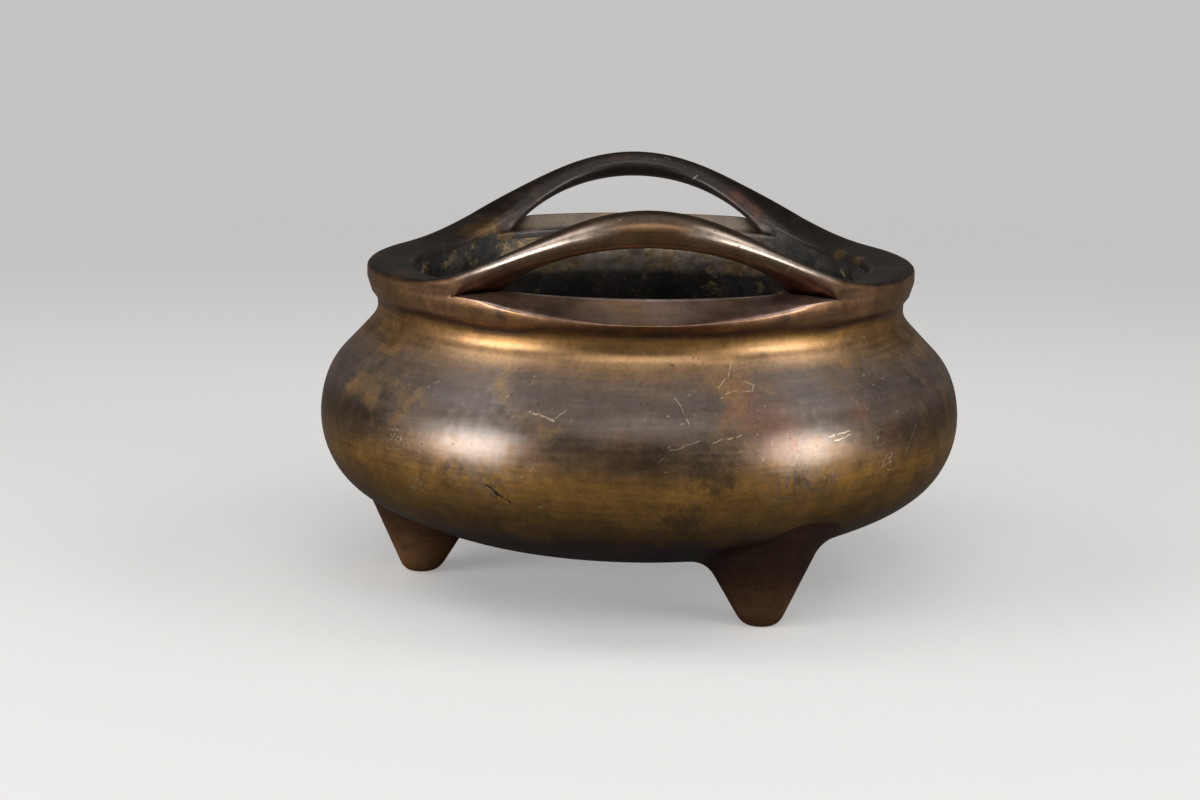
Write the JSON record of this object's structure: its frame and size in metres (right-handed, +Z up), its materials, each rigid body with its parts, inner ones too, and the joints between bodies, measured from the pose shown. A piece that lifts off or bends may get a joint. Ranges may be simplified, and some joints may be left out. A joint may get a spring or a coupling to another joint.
{
  "type": "incense burner",
  "caption": "Squat round-bellied bronze censer on tapered feet, with arched openwork handles rising from a thick lip.",
  "frame": {"origin": "on the surface it stands on, under the centre of the pot", "axes": "+Z up along the pot's axis, -Y towards the front handle, -X towards the single left foot"},
  "size_m": [0.176, 0.176, 0.111],
  "materials": {
    "patinated_bronze": "brown patinated cast bronze, satin, rubbed golden on the neck and lower belly",
    "handled_bronze": "brown bronze worn smooth by handling",
    "foot_bronze": "dark reddish brown bronze, satin"
  },
  "bodies": {
    "root": {"pot": "patinated_bronze", "front_handle": "handled_bronze", "back_handle": "handled_bronze", "front_right_foot": "foot_bronze", "back_right_foot": "foot_bronze", "left_foot": "foot_bronze"}
  },
  "joints": []
}
